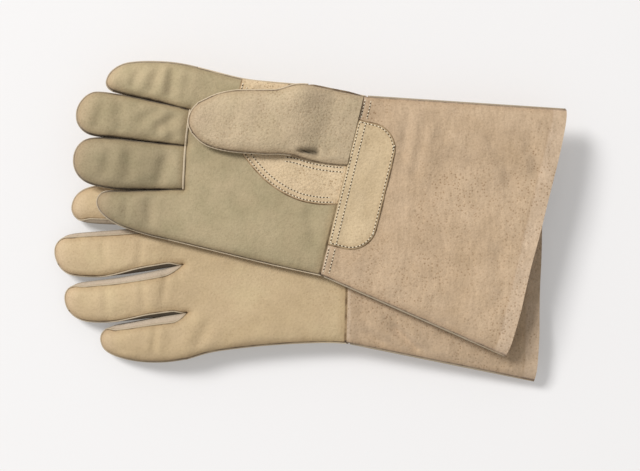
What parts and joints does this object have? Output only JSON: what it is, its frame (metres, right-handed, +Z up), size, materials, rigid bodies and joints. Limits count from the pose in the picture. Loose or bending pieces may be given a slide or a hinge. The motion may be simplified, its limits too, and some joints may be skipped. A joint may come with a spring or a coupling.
{
  "type": "welding gloves",
  "caption": "Stacked pair of leather gauntlet welding gloves with flared suede cuffs, folded thumbs, separate finger panels and cuff patches.",
  "frame": {"origin": "centre of the pair at floor level", "axes": "+Z up; the cuffs point towards +X and the thumb sides towards +Y"},
  "size_m": [0.3896, 0.2434, 0.054],
  "materials": {
    "palm_leather": "matt split cowhide, grey-green khaki",
    "back_leather": "smooth matt grain leather, golden tan",
    "cuff_suede": "brushed suede, pinkish tan",
    "reinforcing_leather": "smooth matt grain leather, light tan",
    "fourchette_leather": "thin matt leather, grey-beige",
    "cotton_lining": "brushed cotton, unbleached"
  },
  "bodies": {
    "left_hand": {"left_palm_panel": "palm_leather", "left_back_panel": "back_leather", "left_hand_lining": "cotton_lining", "left_thumb_strap": "reinforcing_leather"},
    "left_thumb": {"left_thumb_front": "palm_leather", "left_thumb_back": "palm_leather", "left_thumb_lining": "cotton_lining"},
    "left_index_finger": {"left_index_back": "back_leather", "left_index_fourchette": "fourchette_leather", "left_index_front": "palm_leather", "left_index_lining": "cotton_lining"},
    "left_middle_finger": {"left_middle_back": "back_leather", "left_middle_fourchette_index_side": "fourchette_leather", "left_middle_fourchette_ring_side": "fourchette_leather", "left_middle_front": "palm_leather", "left_middle_lining": "cotton_lining"},
    "left_ring_finger": {"left_ring_back": "back_leather", "left_ring_fourchette_little_side": "fourchette_leather", "left_ring_fourchette_middle_side": "fourchette_leather", "left_ring_front": "palm_leather", "left_ring_lining": "cotton_lining"},
    "left_little_finger": {"left_little_back": "back_leather", "left_little_fourchette": "fourchette_leather", "left_little_front": "palm_leather", "left_little_lining": "cotton_lining"},
    "left_gauntlet": {"left_cuff_back": "cuff_suede", "left_cuff_front": "cuff_suede", "left_cuff_lining": "cotton_lining", "left_cuff_patch": "reinforcing_leather"},
    "right_hand": {"right_palm_panel": "palm_leather", "right_back_panel": "back_leather", "right_hand_lining": "cotton_lining", "right_thumb_strap": "reinforcing_leather"},
    "right_thumb": {"right_thumb_front": "palm_leather", "right_thumb_back": "palm_leather", "right_thumb_lining": "cotton_lining"},
    "right_index_finger": {"right_index_back": "back_leather", "right_index_fourchette": "fourchette_leather", "right_index_front": "palm_leather", "right_index_lining": "cotton_lining"},
    "right_middle_finger": {"right_middle_back": "back_leather", "right_middle_fourchette_index_side": "fourchette_leather", "right_middle_fourchette_ring_side": "fourchette_leather", "right_middle_front": "palm_leather", "right_middle_lining": "cotton_lining"},
    "right_ring_finger": {"right_ring_back": "back_leather", "right_ring_fourchette_little_side": "fourchette_leather", "right_ring_fourchette_middle_side": "fourchette_leather", "right_ring_front": "palm_leather", "right_ring_lining": "cotton_lining"},
    "right_little_finger": {"right_little_back": "back_leather", "right_little_fourchette": "fourchette_leather", "right_little_front": "palm_leather", "right_little_lining": "cotton_lining"},
    "right_gauntlet": {"right_cuff_back": "cuff_suede", "right_cuff_front": "cuff_suede", "right_cuff_lining": "cotton_lining", "right_cuff_patch": "reinforcing_leather"}
  },
  "joints": [
    {"name": "left_index_curl", "type": "hinge", "parent": "left_hand", "child": "left_index_finger", "pos_m": [-0.09595, 0.01369, 0.01397], "axis": [-0.0227, -0.9997, 0], "range_deg": [0, 75]},
    {"name": "left_middle_curl", "type": "hinge", "parent": "left_hand", "child": "left_middle_finger", "pos_m": [-0.09666, -0.0176, 0.01397], "axis": [-0.0227, -0.9997, 0], "range_deg": [0, 75]},
    {"name": "left_ring_curl", "type": "hinge", "parent": "left_hand", "child": "left_ring_finger", "pos_m": [-0.09741, -0.05059, 0.01397], "axis": [-0.0227, -0.9997, 0], "range_deg": [0, 75]},
    {"name": "left_little_curl", "type": "hinge", "parent": "left_hand", "child": "left_little_finger", "pos_m": [-0.09823, -0.08688, 0.01397], "axis": [-0.0227, -0.9997, 0], "range_deg": [0, 75]},
    {"name": "left_thumb_lift", "type": "hinge", "parent": "left_hand", "child": "left_thumb", "pos_m": [0.00324, 0.02084, 0.01217], "axis": [-0.0227, -0.9997, 0], "range_deg": [0, 60]},
    {"name": "left_wrist_flex", "type": "hinge", "parent": "left_hand", "child": "left_gauntlet", "pos_m": [0.03125, -0.0228, 0.01397], "axis": [0.0227, 0.9997, 0], "range_deg": [0, 45]},
    {"name": "right_index_curl", "type": "hinge", "parent": "right_hand", "child": "right_index_finger", "pos_m": [-0.08739, 0.10015, 0.04007], "axis": [0.2368, 0.9715, 0], "range_deg": [0, 75]},
    {"name": "right_middle_curl", "type": "hinge", "parent": "right_hand", "child": "right_middle_finger", "pos_m": [-0.09447, 0.0711, 0.04007], "axis": [0.2368, 0.9715, 0], "range_deg": [0, 75]},
    {"name": "right_ring_curl", "type": "hinge", "parent": "right_hand", "child": "right_ring_finger", "pos_m": [-0.10139, 0.04273, 0.04007], "axis": [0.2368, 0.9715, 0], "range_deg": [0, 75]},
    {"name": "right_little_curl", "type": "hinge", "parent": "right_hand", "child": "right_little_finger", "pos_m": [-0.10996, 0.00756, 0.04007], "axis": [0.2368, 0.9715, 0], "range_deg": [0, 75]},
    {"name": "right_thumb_lift", "type": "hinge", "parent": "right_hand", "child": "right_thumb", "pos_m": [0.00846, 0.07534, 0.04187], "axis": [0.2368, 0.9715, 0], "range_deg": [0, 60]},
    {"name": "right_wrist_flex", "type": "hinge", "parent": "right_hand", "child": "right_gauntlet", "pos_m": [0.02645, 0.02669, 0.04007], "axis": [-0.2368, -0.9715, 0], "range_deg": [0, 45]},
    {"name": "right_glove_lift", "type": "slide", "parent": "left_hand", "child": "right_hand", "axis": [0, 0, 1], "range_m": [0, 0.06]}
  ]
}
